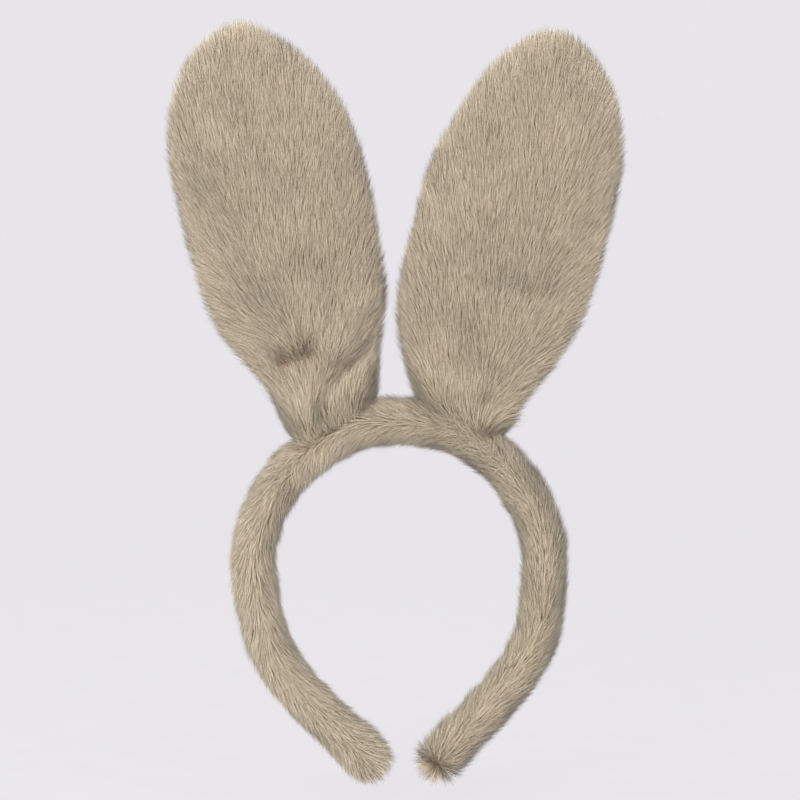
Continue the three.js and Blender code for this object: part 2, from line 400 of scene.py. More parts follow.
PILE_ROOT, PILE_MIDDLE, PILE_END = (0.415, 0.315, 0.202), (0.660, 0.553, 0.398), (0.840, 0.742, 0.575)
DOWN_ROOT, DOWN_END = (0.400, 0.305, 0.198), (0.705, 0.598, 0.435)
MATERIALS = {
    "fur": hair_material("plush_pile", (0.0, PILE_ROOT), (0.4, PILE_MIDDLE), (1.0, PILE_END)),
    "down": hair_material("plush_down", (0.0, DOWN_ROOT), (1.0, DOWN_END)),
    "backing": backing_material(),
    "band_foam": foam_material(),
    "ear_stuffing": filling_material(),
    "band_core": plastic_material(),
    "rim_wire": wire_material(),
    "thread": thread_material(),
}

# ==== Camera, light and backdrop ====

CAMERA_DISTANCE = 0.9
VIEW_WIDTH = 0.380  # how much of the object's plane the picture takes in
VIEW_CENTRE = (0.0005, 0.0189)
SENSOR = 36.0


def add_camera():
    data = bpy.data.cameras.new("camera")
    data.sensor_width = SENSOR
    data.lens = SENSOR * CAMERA_DISTANCE / VIEW_WIDTH
    camera = add_object("camera", data)
    camera.location = (VIEW_CENTRE[0], -CAMERA_DISTANCE, VIEW_CENTRE[1])
    camera.rotation_euler = (math.radians(90), 0, 0)
    bpy.context.scene.camera = camera


def add_area_light(name, location, size, power, colour):
    data = bpy.data.lights.new(name, "AREA")
    data.shape = "DISK"
    data.size = size
    data.energy = power
    data.color = colour
    light = add_object(name, data)
    light.location = location
    light.visible_camera = False
    aim = Vector((0, 0, 0.02)) - light.location
    light.rotation_euler = aim.to_track_quat("-Z", "Y").to_euler()


FLOOR_DROP = 14 * MM  # from the CAD model's lowest point to the floor
FLOOR_RADIUS = 2.2
WALL_BEND = 1.0
WALL_HEIGHT = 0.4  # above the bend


def add_backdrop():
    """A pale floor that curves up into a round wall, wide enough to hold a camera on any side."""
    floor_z = cad_box[0].z - FLOOR_DROP
    profile = [(radius, 0.0) for radius in np.linspace(0.05, FLOOR_RADIUS, 12)]
    for angle in np.radians(np.arange(7.5, 91, 7.5)):
        profile.append((FLOOR_RADIUS + WALL_BEND * math.sin(angle), WALL_BEND - WALL_BEND * math.cos(angle)))
    profile.append((FLOOR_RADIUS + WALL_BEND, WALL_BEND + WALL_HEIGHT))
    turns = np.linspace(0, 2 * math.pi, 96, endpoint=False)
    points = [(0, 0, floor_z)]
    for radius, height in profile:
        points += [(radius * math.cos(t), radius * math.sin(t), floor_z + height) for t in turns]
    ids = 1 + np.arange(len(profile) * len(turns)).reshape(len(profile), -1)
    faces = [tuple(q) for q in ring_faces(ids)]
    faces += [(0, int(b), int(a)) for a, b in zip(ids[0], np.roll(ids[0], -1))]
    backdrop = make_object("studio_backdrop", points, faces)
    s = Shader("studio_paper")
    grain = s.texture("Noise", Scale=40.0, Detail=2.0)
    s.paint(grain, (0.3, (0.115, 0.115, 0.120)), (0.7, (0.125, 0.125, 0.130)))
    s.set(Roughness=0.9, Specular_IOR_Level=0.0)
    s.set(Emission_Color=(0.96, 0.94, 0.975, 1), Emission_Strength=0.72)
    backdrop.data.materials.append(s.material)


def add_world():
    world = bpy.data.worlds.new("studio")
    world.use_nodes = True
    background = world.node_tree.nodes["Background"]
    background.inputs["Color"].default_value = (0.93, 0.94, 1.0, 1)
    background.inputs["Strength"].default_value = 0.85
    bpy.context.scene.world = world


def set_stage():
    add_camera()
    add_backdrop()
    add_world()
    add_area_light("key", (-0.8, -1.6, 0.6), 0.8, 16.6, (1.0, 0.985, 0.955))
    add_area_light("fill", (0.9, -1.9, 0.8), 0.9, 7.6, (0.99, 0.985, 0.98))
    add_area_light("side", (-1.8, -0.5, 0.85), 0.8, 7.0, (1.0, 0.99, 0.97))
    bpy.context.scene.view_settings.view_transform = "Standard"


# ==== Fabric of the band ====


def on_arc(degrees):
    angle = math.radians(degrees)
    return CROWN_CENTRE + CROWN_RADIUS * np.array([math.sin(angle), 0, math.cos(angle)])


def band_centreline():
    """Evenly spaced points from the left tip over the crown to the right tip, domes included."""
    arms = [[np.array([x * MM, 0, z * MM]) for x, z in arm] for arm in (LEFT_ARM, RIGHT_ARM)]
    points = arms[0][::-1] + [on_arc(angle) for angle in ARC_ANGLES] + arms[1]
    line = catmull_rom(points, 12)
    first = line[0] + unit(line[0] - line[1]) * TIP_LENGTHS[0]
    last = line[-1] + unit(line[-1] - line[-2]) * TIP_LENGTHS[1]
    return resample(np.vstack([first, line, last]), RING_STEP)


BAND_LINE, BAND_ALONG = band_centreline()
BAND_TANGENT = unit(np.gradient(BAND_LINE, axis=0))
BAND_OUTWARD = unit(np.cross([0, 1, 0], BAND_TANGENT))
Y_AXIS = np.array([0, 1.0, 0])
TO_RIGHT_END = BAND_ALONG[-1] - BAND_ALONG
TO_NEAREST_END = np.minimum(BAND_ALONG, TO_RIGHT_END)


def ring_at(point):
    return int(np.argmin(np.linalg.norm(BAND_LINE - point, axis=1)))


LAST_RING = len(BAND_LINE) - 1
BAND_SPLITS = [0, *(ring_at(on_arc(angle)) for angle in (-90, -CROWN_END, CROWN_END, 90)), LAST_RING]
BAND_PARTS = ["left_lower_arm", "left_upper_arm", "crown", "right_upper_arm", "right_lower_arm"]


def band_rings(half_depth, half_width, lumps=0.0):
    """Oval rings round the band's centreline, which close in a dome at each tip."""
    close = np.sqrt(np.clip(1 - (1 - np.minimum(TO_NEAREST_END / TIP_DOME, 1)) ** 2, 0.015, 1))
    angle = np.linspace(0, 2 * math.pi, TUBE_SIDES, endpoint=False)
    radial = half_depth * np.cos(angle)[None, :, None] * BAND_OUTWARD[:, None]
    sideways = half_width * np.sin(angle)[None, :, None] * Y_AXIS
    around = (radial + sideways) * close[:, None, None]
    rings = BAND_LINE[:, None] + around
    noise = waves(rings.reshape(-1, 3), 7 * MM, 3).reshape(rings.shape[:2])
    return rings + (lumps * noise * close[:, None])[..., None] * unit(around)


def slot_rings(half_depth, half_width):
    """Rings with a rectangular section, for the slot that the core lies in."""
    angle = np.linspace(0, 2 * math.pi, TUBE_SIDES, endpoint=False)
    cosine, sine = np.cos(angle), np.sin(angle)
    reach = np.minimum(half_depth / np.maximum(abs(cosine), 1e-9), half_width / np.maximum(abs(sine), 1e-9))
    radial = (reach * cosine)[None, :, None] * BAND_OUTWARD[:, None]
    return BAND_LINE[:, None] + radial + (reach * sine)[None, :, None] * Y_AXIS


# ==== Fabric of the ears ====


def to_row(ear, points):
    """Points in the ear's own plane, in mm, as x and z of the row frame."""
    angle = math.radians(ear["lean"])
    a, h = np.asarray(points, float).T
    x = ear["root"][0] + a * math.cos(angle) + h * math.sin(angle)
    z = ear["root"][1] - a * math.sin(angle) + h * math.cos(angle)
    return np.column_stack([x, z]) * MM


def ear_outline(ear, inset):
    """The fabric's edge from its left root corner over the tip to the right one, as x and z."""
    side = ear["outward"]
    outer = [(side * width, height) for width, height in zip(ear["outer"], STATIONS)]
    inner = [(-side * width, height) for width, height in zip(ear["inner"], STATIONS)]
    points = outer + [ear["tip"]] + inner[::-1]
    if side > 0:
        points = points[::-1]
    curve = catmull_rom(to_row(ear, points), 24)
    along = unit(np.gradient(curve, axis=0))
    inward = np.column_stack([along[:, 1], -along[:, 0]])
    depth = inset * (0.35 + 0.65 * smoothstep(curve[:, 1], 24 * MM, 42 * MM))
    return curve + depth[:, None] * inward


def band_centre_z(x):
    """Height of the crown's centreline over x."""
    return CROWN_CENTRE[2] + np.sqrt(np.maximum(CROWN_RADIUS**2 - np.asarray(x) ** 2, 0))


def ear_rings(ear, inset, half_thickness, rim):
    """Rings round the ear, each along its front and back along its back. The last is its edge at the tip."""
    outline = ear_outline(ear, inset)
    top = int(np.argmax(outline[:, 1]))
    left, right = outline[: top + 1], outline[top:][::-1]
    root_x = [root_corner(side) for side in (left, right)]
    root_z = band_centre_z(root_x) + ROOT_OFFSET
    low, high = root_z.min(), outline[top, 1] - TIP_ARC
    heights = np.linspace(low, high, round((high - low) / EAR_ROW_STEP))[:, None]
    u = np.linspace(0, 1, EAR_COLUMNS + 1)
    near_root = 1 - smoothstep(heights, low, LEVEL_FROM)
    z_left = heights + near_root * (root_z[0] - low)
    z_right = heights + near_root * (root_z[1] - low)
    x_left = np.interp(z_left, left[:, 1], left[:, 0])
    x_right = np.interp(z_right, right[:, 1], right[:, 0])
    x = x_left * (1 - u) + x_right * u
    z = z_left * (1 - u) + z_right * u
    root_line = root_z[0] * (1 - u) + root_z[1] * u
    z += near_root * (band_centre_z(x[:1]) + ROOT_OFFSET - root_line)
    arc, _ = resample(outline[outline[:, 1] >= high], 0.1 * MM)
    arc = arc[np.round(u * (len(arc) - 1)).astype(int)]
    chord = arc[0] * (1 - u[:, None]) + arc[-1] * u[:, None]
    rise = 0.94 * smoothstep(heights, high - ARC_FADE, high + 3 * MM)
    x = np.vstack([x + rise * (arc - chord)[:, 0], arc[:, 0]])
    z = np.vstack([z + rise * (arc - chord)[:, 1], arc[:, 1]])
    grid = np.column_stack([x.ravel(), z.ravel()])
    edge = np.array([np.hypot(*(outline - point).T).min() for point in grid]).reshape(x.shape)
    edge[:, [0, -1]] = 0
    edge[-1] = 0
    body = half_thickness * round_rim(edge / rim)
    over_hem = smoothstep(z - band_centre_z(x), ROOT_OFFSET, 10 * MM)
    root = (HEM_HALF + (ROOT_HALF - HEM_HALF) * over_hem) * round_rim(edge / ROOT_RIM)
    over_band = 1 - smoothstep(z - band_centre_z(x), 14 * MM, 32 * MM)
    half = body * (1 - over_band) + root * over_band
    front = np.stack([x, -half, z], axis=-1)
    back = np.stack([x, half, z], axis=-1)
    return np.concatenate([front, back[:, -2:0:-1]], axis=1)


def root_corner(side):
    """x at which an ear's edge meets the crown's fabric."""
    from_centre = np.hypot(side[:, 0], side[:, 1] - CROWN_CENTRE[2])
    meets = np.abs(from_centre - CROWN_RADIUS - 0.4 * TUBE_HALF_DEPTH)
    return side[np.argmin(np.where(side[:, 1] < LEVEL_FROM, meets, 1)), 0]


def round_rim(t):
    return np.sqrt(1 - (1 - np.clip(t, 0, 1)) ** 2)


def swapped(ring):
    """The same ring with each front point swapped for the back point behind it."""
    return np.vstack([ring[:1], ring[:0:-1]])


def refine(rings):
    """Twice the rings and twice the points on each, on smooth curves through the old ones."""
    sum_near = rings + np.roll(rings, -1, 1)
    sum_far = np.roll(rings, 1, 1) + np.roll(rings, -2, 1)
    rings = np.stack([rings, (9 * sum_near - sum_far) / 16], axis=2).reshape(len(rings), -1, 3)
    padded = np.concatenate([2 * rings[:1] - rings[1:2], rings, 2 * rings[-1:] - rings[-2:-1]])
    finer = np.empty((2 * len(rings) - 1, *rings.shape[1:]))
    finer[::2] = rings
    finer[1::2] = (9 * (padded[1:-2] + padded[2:-1]) - padded[:-3] - padded[3:]) / 16
    finer[-1] = (finer[-1] + swapped(finer[-1])) / 2
    return finer


# ==== Meshes from rings ====


def ring_ids(rings, flat_top):
    """Point numbers, one row per ring. In a flat top ring the front and the back share their points."""
    count, size = rings.shape[:2]
    ids = np.arange(count * size).reshape(count, size)
    if flat_top:
        half = size // 2
        ids[-1, half + 1 :] = ids[-1, 1:half][::-1]
    return ids


def strip_cap(ring):
    """Faces across a flattened ring, from each front point to the back point behind it."""
    half = len(ring) // 2
    faces = []
    for k in range(half):
        corners = [ring[k], ring[k + 1], ring[-(k + 1) % len(ring)], ring[-k % len(ring)]]
        faces.append(list(dict.fromkeys(int(c) for c in corners)))
    return [face for face in faces if len(face) > 2]


def fan_cap(ring, centre):
    return [(centre, int(a), int(b)) for a, b in zip(ring, np.roll(ring, -1))]


def closed_shape(rings, flat_top=False, flat_section=False, hole=None):
    """Points and outward faces of a closed skin over the rings, and which ring points it uses."""
    ids = ring_ids(rings, flat_top)
    points = rings.reshape(-1, 3)
    faces = [list(q) for q in ring_faces(ids)]
    if hole is not None:
        inner = ids + len(points)
        points = np.vstack([points, hole.reshape(-1, 3)])
        faces += [list(q)[::-1] for q in ring_faces(inner)]
        for a, b in ((ids[0], inner[0]), (inner[-1], ids[-1])):
            faces += [list(q) for q in ring_faces(np.stack([b, a]))]
    elif flat_section:
        faces += [face[::-1] for face in strip_cap(ids[0])]
        faces += [] if flat_top else strip_cap(ids[-1])
    else:
        points = np.vstack([points, rings[0].mean(0), rings[-1].mean(0)])
        faces += [face[::-1] for face in fan_cap(ids[0], len(points) - 2)]
        faces += fan_cap(ids[-1], len(points) - 1)
    used = np.unique(np.concatenate([np.asarray(face) for face in faces]))
    number = np.full(len(points), -1)
    number[used] = np.arange(len(used))
    points = points[used]
    faces = [list(dict.fromkeys(int(number[n]) for n in face)) for face in faces]
    triangles = np.array([(f[0], f[i], f[i + 1]) for f in faces for i in range(1, len(f) - 1)])
    a, b, c = (points[triangles[:, i]] for i in range(3))
    if (a * np.cross(b, c)).sum() < 0:
        faces = [face[::-1] for face in faces]
    return points, faces, used


def solid_tree(rings, **shape):
    """A tree of the closed skin's faces, to ask whether a point is inside it."""
    points, faces, _ = closed_shape(rings, **shape)
    return BVHTree.FromPolygons([tuple(point) for point in points], faces)


def closed_piece(name, rings, material, **shape):
    """A closed piece over the rings. A hole is a second set of rings, for a sleeve."""
    points, faces, used = closed_shape(rings, **shape)
    piece = make_object(name, points, faces)
    if material:
        rest = piece.data.attributes.new("rest", "FLOAT_VECTOR", "POINT")
        rest.data.foreach_set("vector", points.astype(np.float32).ravel())
        piece.data.materials.append(MATERIALS[material])
    return piece, used


def padded_piece(name, rings, slot, replaced, fill, **shape):
    piece, _ = closed_piece(name, rings, "backing" if slot == "fur" else slot, **shape)
    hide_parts(*replaced)
    return piece


# ==== Padding and shaping of the ears ====


def swell(name, rings):
    """Blender's cloth blows the slack ear up, with its root held. No point moves by more than a cap."""
    piece, used = closed_piece(name, rings, None, flat_top=True, flat_section=True)
    points = rings.reshape(-1, 3)[used]
    above_band = points[:, 2] - band_centre_z(points[:, 0])
    grip = 1 - smoothstep(above_band, 18 * MM, 34 * MM)
    held = piece.vertex_groups.new(name="held")
    for i, weight in enumerate(grip):
        held.add([i], float(weight), "REPLACE")
    cloth = piece.modifiers.new("padding", "CLOTH")
    settings = cloth.settings
    settings.vertex_group_mass = "held"
    settings.use_pressure = True
    settings.uniform_pressure_force = SWELL_PRESSURE
    settings.effector_weights.gravity = 0
    settings.quality = 6
    settings.tension_stiffness = settings.compression_stiffness = 20
    settings.bending_stiffness = 2
    scene = bpy.context.scene
    for number in range(1, SWELL_FRAMES + 1):
        scene.frame_set(number)
    evaluated = piece.evaluated_get(bpy.context.evaluated_depsgraph_get())
    moved = np.empty(len(points) * 3, np.float32)
    evaluated.data.vertices.foreach_get("co", moved)
    step = moved.reshape(-1, 3) - points
    bpy.data.objects.remove(piece)
    scene.frame_set(1)
    length = np.linalg.norm(step, axis=1, keepdims=True)
    step *= np.minimum(1, SWELL_CAP / np.maximum(length, 1e-9))
    swollen = rings.reshape(-1, 3).copy()
    swollen[used] += step
    return swollen[ring_ids(rings, True)]


def distance_to_path(points, path):
    """How far each x, z point is from a path in mm, on which side, and the path's direction."""
    path = catmull_rom(np.array(path, float) * MM, 6)
    best = np.full(len(points), 1e9)
    side = np.zeros(len(points))
    heading = np.zeros((len(points), 2))
    for a, b in zip(path[:-1], path[1:]):
        along = b - a
        t = np.clip(((points - a) @ along) / (along @ along), 0, 1)
        offset = points - a - t[:, None] * along
        distance = np.hypot(*offset.T)
        closer = distance < best
        best[closer] = distance[closer]
        side[closer] = np.sign(along[0] * offset[closer, 1] - along[1] * offset[closer, 0])
        heading[closer] = unit(along)
    return best, side, heading


def press(flat, centre, radius, depth):
    """Pushes the front in round a point, by a bell curve."""
    distance = np.hypot(flat[:, 0] - centre[0] * MM, flat[:, 2] - centre[1] * MM)
    front = flat[:, 1] < 0
    flat[front, 1] += depth * MM * bell(distance[front], radius * MM)


def fold_along(flat, path, width, depth, lip, lip_width):
    """Creases the front along a path that runs down, and raises a lip to the left of it."""
    distance, side, _ = distance_to_path(flat[:, [0, 2]], path)
    front = flat[:, 1] < 0
    groove = depth * MM * bell(distance, width * MM)
    raised = lip * MM * bell(distance - lip_width * MM, 0.7 * lip_width * MM) * (side < 0)
    start = np.hypot(flat[:, 0] - path[0][0] * MM, flat[:, 2] - path[0][1] * MM)
    fade = smoothstep(start, 3 * MM, 17 * MM)
    flat[front, 1] += ((groove - raised) * fade)[front]


GROOVE = [(-10.5, 51.5), (-17, 41.5), (-24.7, 32.7), (-33, 22), (-37.5, 14), (-36.3, 5)]
DIMPLE = (-42.2, 37)  # the hair that starts here shows it a little higher up
BROWN_PATCH = (-52.5, 34.5)
RIGHT_DIP = (40, 14.5)
CORNER_TUFT = (49.5, 8)
SMALL_DENTS = [((48, 68), 6, 1.0), ((59, 65.5), 6, 1.2), ((70, 65), 6, 1.0)]
DENTS = {  # in the front: centre, radius and depth in mm
    "left": [(DIMPLE, 5, 2.8), (BROWN_PATCH, 5, 2.0), ((-82, 98), 11, 1.3)],
    "right": [(RIGHT_DIP, 4, 2.6), ((33, 38), 12, 0.9), ((70, 58), 16, 1.0), *SMALL_DENTS],
}


def shape_by_hand(side, rings):
    """Dimples, the fold at the left ear's root, and the soft unevenness of stuffed plush."""
    flat = rings.reshape(-1, 3)
    for dent in DENTS[side]:
        press(flat, *dent)
    if side == "left":
        fold_along(flat, GROOVE, 2.2, 3.2, 2.8, 9)
    free = smoothstep(flat[:, 2], 20 * MM, 50 * MM)
    rim = np.clip(np.abs(flat[:, 1]) / (4 * MM), 0, 1)
    uneven = waves(flat * [1, 0.2, 1], 26 * MM, 5) * 0.55 * MM
    flat[:, 1] += np.sign(flat[:, 1]) * uneven * free * rim
    return flat.reshape(rings.shape)


# ==== Pile ====


USUAL_HAIR = {"length": 1.0, "lift": 1.0, "tone": 1.0, "stray": 0.0, "brown": 0.0}


class Skin:
    """Fabric that pile grows on: points, triangles, and at each point the hair's lie and its other facts."""

    def __init__(self, rings, flow, hair, flat_top=False):
        ids = ring_ids(rings, flat_top)
        self.points = rings.reshape(-1, 3)
        quads = ring_faces(ids)
        self.triangles = np.vstack([quads[:, [0, 1, 2]], quads[:, [0, 2, 3]]])
        a, b, c = (self.points[self.triangles[:, i]] for i in range(3))
        face = np.cross(b - a, c - a)
        outwards = np.sign(((a + b + c) / 3 * face).sum() - (self.points.mean(0) * face.sum(0)).sum())
        self.triangles = self.triangles if outwards > 0 else self.triangles[:, ::-1]
        face *= outwards
        self.area = np.linalg.norm(face, axis=1) / 2
        normals = np.zeros_like(self.points)
        for i in range(3):
            np.add.at(normals, self.triangles[:, i], face)
        self.normals = unit(normals)
        self.flow = flow.reshape(-1, 3)
        self.hair = {}
        for key, usual in USUAL_HAIR.items():
            self.hair[key] = np.broadcast_to(hair.get(key, usual), ids.shape).ravel()

    def scatter(self, per_mm2):
        """Evenly mixed places on the skin, and what the skin says at each."""
        wanted = self.area / MM**2 * per_mm2
        count = np.floor(wanted + rng.random(len(wanted))).astype(int)
        triangle = np.repeat(np.arange(len(count)), count)
        order = np.arange(len(triangle)) - np.repeat(np.cumsum(count) - count, count)
        shift = rng.random((len(count), 2))[triangle]
        u = (shift[:, 0] + 0.7548776662 * order) % 1
        v = (shift[:, 1] + 0.5698402910 * order) % 1
        flip = u + v > 1
        u, v = np.where(flip, 1 - u, u), np.where(flip, 1 - v, v)
        weights = np.stack([1 - u - v, u, v], axis=1)
        corners = self.triangles[triangle]
        fields = {"root": self.points, "normal": self.normals, "flow": self.flow}
        places = {key: np.einsum("ij,ijk->ik", weights, values[corners]) for key, values in fields.items()}
        places["normal"] = unit(places["normal"])
        places.update({key: (weights * values[corners]).sum(1) for key, values in self.hair.items()})
        return places


def keep(places, mask):
    return {key: value[mask] for key, value in places.items()}


def turned(vectors, axes, angles):
    """The vectors turned about the axes."""
    cosine, sine = np.cos(angles)[:, None], np.sin(angles)[:, None]
    dot = (vectors * axes).sum(1, keepdims=True)
    return vectors * cosine + np.cross(axes, vectors) * sine + axes * dot * (1 - cosine)


def lay_hairs(places, turn, steep, longer):
    """The bend and the end of a hair at each place, from its flow, lift and length."""
    root, normal, flow = places["root"], places["normal"], places["flow"]
    turn = turn * (1 + STRAY_TURN * places["stray"])
    flow = turned(flow, normal, np.radians(6) * waves(root, ROUGHNESS_SIZES[0], 11) + turn)
    rise = (flow * normal).sum(1, keepdims=True)
    flow = flow - np.where(rise > 0, (1 - RISE_KEPT) * rise, rise) * normal
    lift = places["lift"] * (1 + 0.16 * waves(root, ROUGHNESS_SIZES[1], 12) + steep)
    length = places["length"] * PILE * (1 + longer)
    first = unit(flow + normal * np.tan(np.radians(ROOT_LAY) * np.clip(lift, 0.3, 1.5))[:, None])
    second = unit(flow + normal * np.tan(np.radians(END_LAY) * np.clip(lift, 0.2, 2.2))[:, None])
    bend = root + first * (HAIR_BEND * length)[:, None]
    return bend, bend + second * ((1 - HAIR_BEND) * length)[:, None]


def spread(count, turn, steep, shorter, longer):
    """Each hair's own turn, steepness and extra length."""
    turns = rng.normal(0, math.radians(turn), count)
    return turns, rng.normal(0, steep, count), rng.uniform(shorter, longer, count)


def grow(skin, blocked):
    """The long hair, drawn together in small tufts, and the short down under it."""
    tufts = skin.scatter(TUFTS_PER_MM2)
    m = len(tufts["root"])
    tuft_bend, tuft_end = lay_hairs(tufts, *spread(m, 8, 0.18, -0.16, 0.16))
    tuft_tone = rng.normal(0, 0.045, m)
    tree = KDTree(m)
    for i, point in enumerate(tufts["root"]):
        tree.insert(point, i)
    tree.balance()
    coats = {}
    for coat, per_mm2, width, length, pull in (
        ("pile", HAIRS_PER_MM2, HAIR_WIDTH, 1.0, (0.05, 0.48)),
        ("down", DOWN_PER_MM2, DOWN_WIDTH, DOWN_LENGTH, (0.0, 0.4)),
    ):
        hairs = skin.scatter(per_mm2)
        hairs = keep(hairs, ~inside(hairs["root"], blocked))
        hairs["length"] *= length
        n = len(hairs["root"])
        turn, steep, longer = spread(n, 6.5, 0.3, -0.2, 0.14)
        guard = rng.random(n) < GUARD_SHARE
        steep[guard] += 0.9
        bend, end = lay_hairs(hairs, turn, steep, longer)
        nearest = np.array([tree.find(point)[1] for point in hairs["root"]])
        pull = rng.uniform(*pull, n)[:, None]
        tone = 1 + tuft_tone[nearest] + rng.normal(0, 0.22, n)
        tone += 0.022 * waves(hairs["root"], PATCH_SIZES[0], 13)
        tone += 0.025 * waves(hairs["root"], PATCH_SIZES[1], 14)
        # The fabric's tone brings in the painted light and shade set on each part.
        tone *= hairs["tone"]
        coats[coat] = {
            "root": hairs["root"] - ROOT_DEPTH * hairs["normal"],
            "normal": hairs["normal"],
            "bend": bend + 0.45 * pull * (tuft_bend[nearest] - bend),
            "end": end + length * pull * (tuft_end[nearest] - end),
            "tone": np.clip(tone, *TONES),
            "width": width * rng.uniform(0.75, 1.2, n) * np.where(guard, 0.7, 1),
            "brown": np.clip(hairs["brown"] * rng.uniform(0, 2.2, n), 0, 1),
        }
    return coats


def inside(points, trees):
    """Which points lie inside any of the closed skins."""
    result = np.zeros(len(points), bool)
    for tree in trees:
        for i, point in enumerate(points):
            near, normal, _, _ = tree.find_nearest(point, NEAR_FABRIC)
            if near is not None and (Vector(point) - near).dot(normal) < 0:
                result[i] |= crossings(tree, Vector(point)) % 2 == 1
    return result


def crossings(tree, point):
    """How often a ray from the point passes through the skin."""
    ray = Vector((0.31, 0.94, 0.14)).normalized()
    count = 0
    hit = tree.ray_cast(point, ray)[0]
    while hit is not None:
        count += 1
        hit = tree.ray_cast(hit + 1e-6 * ray, ray)[0]
    return count


# A bent hair has three points at its root, three at its bend and one at its end. A straight one has no bend.
ROOT_FACE = (0, 2, 1)
BENT_SIDES = [(0, 1, 4), (0, 4, 3), (1, 2, 5), (1, 5, 4), (2, 0, 3), (2, 3, 5)]
BENT_FACES = [ROOT_FACE, *BENT_SIDES, (3, 4, 6), (4, 5, 6), (5, 3, 6)]
STRAIGHT_FACES = [ROOT_FACE, (0, 1, 3), (1, 2, 3), (2, 0, 3)]


def across_to(axis, normal):
    """The normal, made square to the axis."""
    return unit(normal - (normal * axis).sum(1, keepdims=True) * axis)


def hair_points(hairs, bent):
    """Each hair's points, which way they shade, and how far along it each lies."""
    root, bend, end, normal = (hairs[key] for key in ("root", "bend", "end", "normal"))
    axis = unit(end - root)
    across = np.cross(axis, normal)
    upright = np.linalg.norm(across, axis=1) < 0.1
    across[upright] = np.cross(axis[upright], [0.6, 0.8, 0.05])
    across = unit(across)
    third = np.cross(axis, across)
    spokes = [math.cos(angle) * across + math.sin(angle) * third for angle in np.radians([90, 210, 330])]
    half = hairs["width"][:, None] / 2
    low_face = across_to(unit(bend - root) if bent else axis, normal)
    high_face = across_to(unit(end - bend) if bent else axis, normal)
    points = [root + half * spoke for spoke in spokes]
    facing = [unit(HAIR_ROUNDNESS * spoke + low_face) for spoke in spokes]
    along = [0.0] * 3
    if bent:
        points += [bend + 0.85 * half * spoke for spoke in spokes]
        facing += [unit(HAIR_ROUNDNESS * spoke + unit(low_face + high_face)) for spoke in spokes]
        along += [HAIR_BEND] * 3
    return np.stack([*points, end], axis=1), np.stack([*facing, high_face], axis=1), np.array([*along, 1.0])


def pile_piece(name, hairs, bent):
    """One mesh of hairs, each a closed, three-sided taper."""
    points, facing, along = hair_points(hairs, bent)
    n, size = points.shape[:2]
    hair_faces = np.array(BENT_FACES if bent else STRAIGHT_FACES)
    faces = (hair_faces + size * np.arange(n)[:, None, None]).reshape(-1, 3)
    mesh = bpy.data.meshes.new(name)
    mesh.vertices.add(size * n)
    mesh.vertices.foreach_set("co", points.astype(np.float32).ravel())
    mesh.loops.add(faces.size)
    mesh.loops.foreach_set("vertex_index", faces.astype(np.int32).ravel())
    mesh.polygons.add(len(faces))
    mesh.polygons.foreach_set("loop_start", np.arange(0, faces.size, 3, dtype=np.int32))
    mesh.polygons.foreach_set("use_smooth", np.ones(len(faces), bool))
    mesh.update(calc_edges=True)
    tone, brown = (np.repeat(hairs[key], size) for key in ("tone", "brown"))
    for label, values in {"along": np.tile(along, n), "tone": tone, "brown": brown}.items():
        attribute = mesh.attributes.new(label, "FLOAT", "POINT")
        attribute.data.foreach_set("value", values.astype(np.float32))
    mesh.normals_split_custom_set_from_vertices(facing.reshape(-1, 3))
    add_hair_uv(mesh, n, along, faces)
    mesh.materials.append(MATERIALS["fur" if bent else "down"])
    piece = add_object(name, mesh)
    return piece


def add_hair_uv(mesh, n, along, faces):
    """Each hair has a small cell of the texture square to itself, with the hair's length up the cell."""
    across = math.ceil(math.sqrt(n))
    column, row = np.arange(n) % across, np.arange(n) // across
    sideways = np.array([0.2, 0.5, 0.8] * (len(along) // 3) + [0.5])
    u = (column[:, None] + sideways) / across
    v = (row[:, None] + 0.1 + 0.8 * along) / across
    uv = np.stack([u, v], axis=-1).reshape(-1, 2)[faces.ravel()]
    layer = mesh.uv_layers.new(name="OFBake")
    layer.data.foreach_set("uv", uv.astype(np.float32).ravel())


# ==== The band's pieces ====


def outward_of_line(rings):
    """How far outward of the band's centreline each point lies."""
    return ((rings - BAND_LINE[:, None]) * BAND_OUTWARD[:, None]).sum(-1)


def on_crown(rings):
    return rings[..., 2] > 0.3 * CROWN_CENTRE[2]


def band_flow(rings):
    """The hair lies one way all along the band: up the right arm, over the crown and down the left arm.

    Hair points past the band's end only at the tip of the right arm. Over the crown it opens away from the
    band's middle, and where the left ear starts it turns up into the ear.
    """
    x = rings[..., 0]
    past_end = 1 - smoothstep(TO_RIGHT_END[:, None], 0.5 * MM, 4.5 * MM)
    height = outward_of_line(rings) / TUBE_HALF_DEPTH
    between_ears = smoothstep(x, -32 * MM, -16 * MM) * (1 - smoothstep(x, 12 * MM, 26 * MM))
    into_ear = bell(x + 36 * MM, 10 * MM) * on_crown(rings)
    flare = height * (0.12 + 0.76 * between_ears) + 1.1 * into_ear * smoothstep(height, -0.7, 0.5)
    along = 2 * past_end - 1
    return along[..., None] * BAND_TANGENT[:, None] + flare[..., None] * BAND_OUTWARD[:, None]


def blend_about(piece):
    """Bakes the piece's transform into its mesh."""
    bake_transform(piece)


def place_band_piece(piece, part):
    if part == "crown":
        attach(piece, "crown")
        return
    blend_about(piece)


def ruffled(rings):
    """How ruffled the band's hair is: under the ears' hems, and at the end of the right arm."""
    x = rings[..., 0] / MM
    right = smoothstep(x, 18, 24) * (1 - smoothstep(x, 50, 56))
    left = smoothstep(x, -58, -52) * (1 - smoothstep(x, -42, -36))
    under_hems = 0.5 * (right + left) * bell(outward_of_line(rings) / MM, 4) * on_crown(rings)
    return np.maximum(under_hems, 0.2 * (1 - smoothstep(TO_RIGHT_END[:, None], 4 * MM, 11 * MM)))


